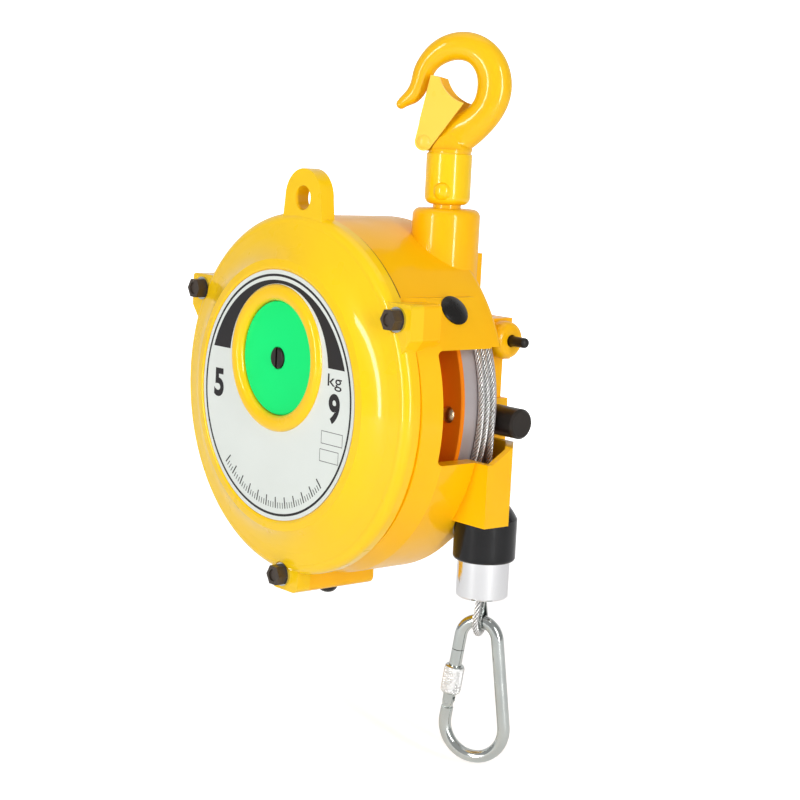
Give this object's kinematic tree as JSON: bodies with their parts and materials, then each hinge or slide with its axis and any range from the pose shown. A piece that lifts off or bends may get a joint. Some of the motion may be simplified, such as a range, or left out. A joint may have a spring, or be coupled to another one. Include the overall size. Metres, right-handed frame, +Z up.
{
  "type": "tool balancer",
  "caption": "Spring balancer with a round cast case, swivel top hook, load dial, rope drum in a side window, and a screw gate carabiner on the wire rope.",
  "frame": {"origin": "saddle of the top hook, in line with the swivel axis and level with the top of the hook's throat", "axes": "+Z up along the swivel axis, the drum's axis along Y with the dial facing -Y, the rope runs down on the +X side"},
  "size_m": [0.2058, 0.1105, 0.3853],
  "materials": {
    "yellow_paint": "gloss enamel on die cast metal",
    "label_face": "satin printed plate",
    "green_dial": "gloss paint",
    "black_rubber": "matt moulded rubber",
    "black_steel": "black oxide steel",
    "zinc_steel": "bright zinc plated",
    "bare_steel": "machined steel",
    "spring_steel": "blued spring strip",
    "rope_steel": "galvanised wire rope",
    "drum_alloy": "turned aluminium",
    "orange_paint": "satin paint",
    "sleeve_alloy": "bright drawn aluminium",
    "bronze": "sintered bronze"
  },
  "bodies": {
    "top_hook": {"hook": "yellow_paint", "hook_socket": "yellow_paint", "socket_rivet": "yellow_paint", "swivel_stud": "bare_steel", "swivel_nut": "zinc_steel", "thrust_washer": "bronze", "latch_rivet": "zinc_steel", "latch_spring": "spring_steel"},
    "latch": {"hook_latch": "yellow_paint"},
    "housing": {"main_case": "yellow_paint", "front_cover": "yellow_paint", "name_plate": "label_face", "cover_bolts": "black_steel", "cover_washers": "zinc_steel", "side_plug": "black_rubber", "foot_plug": "black_rubber", "rear_cap": "yellow_paint", "rear_cap_screws": "black_steel", "guide_bush": "bronze", "rear_bush": "bronze", "worm_bush": "bronze", "lock_spring": "spring_steel"},
    "drum": {"drum": "drum_alloy", "spring_case": "orange_paint", "flange_rivets": "orange_paint", "hub_bush": "bronze", "mainspring": "spring_steel", "rope_windings": "rope_steel"},
    "adjuster": {"main_shaft": "bare_steel", "spring_arbor": "bare_steel", "worm_wheel": "bare_steel", "shaft_collar": "bare_steel"},
    "worm": {"worm": "bare_steel", "worm_tip": "black_steel"},
    "dial": {"load_dial": "green_dial", "dial_screw": "black_steel"},
    "lock": {"lock_pin": "bare_steel", "lock_knob": "black_steel"},
    "load": {"rope_run": "rope_steel", "rubber_bumper": "black_rubber", "stop_sleeve": "sleeve_alloy", "rope_ferrule": "sleeve_alloy", "rope_eye": "rope_steel", "rope_thimble": "zinc_steel"},
    "carabiner": {"carabiner_body": "zinc_steel", "gate_pin": "zinc_steel"},
    "gate": {"carabiner_gate": "zinc_steel"},
    "gate_screw": {"screw_sleeve": "zinc_steel"}
  },
  "joints": [
    {"name": "hook_swivel", "type": "hinge", "parent": "top_hook", "child": "housing", "pos_m": [0, 0, 0], "axis": [0, 0, 1], "continuous": true},
    {"name": "latch_hinge", "type": "hinge", "parent": "top_hook", "child": "latch", "pos_m": [-0.01023, -0.00664, -0.0422], "axis": [-0.5446, 0.8387, 0], "range_deg": [0, 22], "stiffness_Nm_per_rad": 0.02, "springref_deg": -17.19},
    {"name": "drum_turn", "type": "hinge", "parent": "housing", "child": "drum", "pos_m": [-0.046, -0.074, -0.1795], "axis": [0, 1, 0], "range_deg": [0, 960], "stiffness_Nm_per_rad": 0.02, "springref_deg": -1432.39},
    {"name": "load_travel", "type": "slide", "parent": "housing", "child": "load", "axis": [0, 0, -1], "range_m": [0, 1.505], "deforming": ["rope_run"]},
    {"name": "carabiner_swing", "type": "hinge", "parent": "load", "child": "carabiner", "pos_m": [0.0438, 0, -0.2914], "axis": [0.9063, 0.4226, 0], "range_deg": [-60, 60]},
    {"name": "gate_hinge", "type": "hinge", "parent": "carabiner", "child": "gate", "pos_m": [0.0297, -0.00657, -0.33813], "axis": [-0.4226, 0.9063, 0], "range_deg": [0, 22], "stiffness_Nm_per_rad": 0.01, "springref_deg": -17.19},
    {"name": "gate_screw_travel", "type": "slide", "parent": "gate", "child": "gate_screw", "axis": [0.1229, 0.0573, 0.9908], "range_m": [0, 0.013]},
    {"name": "spring_adjust", "type": "hinge", "parent": "housing", "child": "adjuster", "pos_m": [-0.046, -0.074, -0.1795], "axis": [0, 1, 0], "range_deg": [0, 240]},
    {"name": "worm_turn", "type": "hinge", "parent": "housing", "child": "worm", "pos_m": [-0.046, 0.0158, -0.1435], "axis": [1, 0, 0], "range_deg": [0, 8640]},
    {"name": "dial_turn", "type": "hinge", "parent": "housing", "child": "dial", "pos_m": [-0.046, -0.074, -0.1595], "axis": [0, 1, 0], "range_deg": [0, 180]},
    {"name": "lock_push", "type": "slide", "parent": "housing", "child": "lock", "axis": [-1, 0, 0], "range_m": [0, 0.004], "stiffness_N_per_m": 200, "springref_m": -0.004}
  ],
  "couplings": [
    {"joint": "load_travel", "follows": "drum_turn", "m_per_rad": 0.0898},
    {"joint": "spring_adjust", "follows": "worm_turn", "ratio": 0.027778},
    {"joint": "dial_turn", "follows": "worm_turn", "ratio": 0.020833}
  ]
}
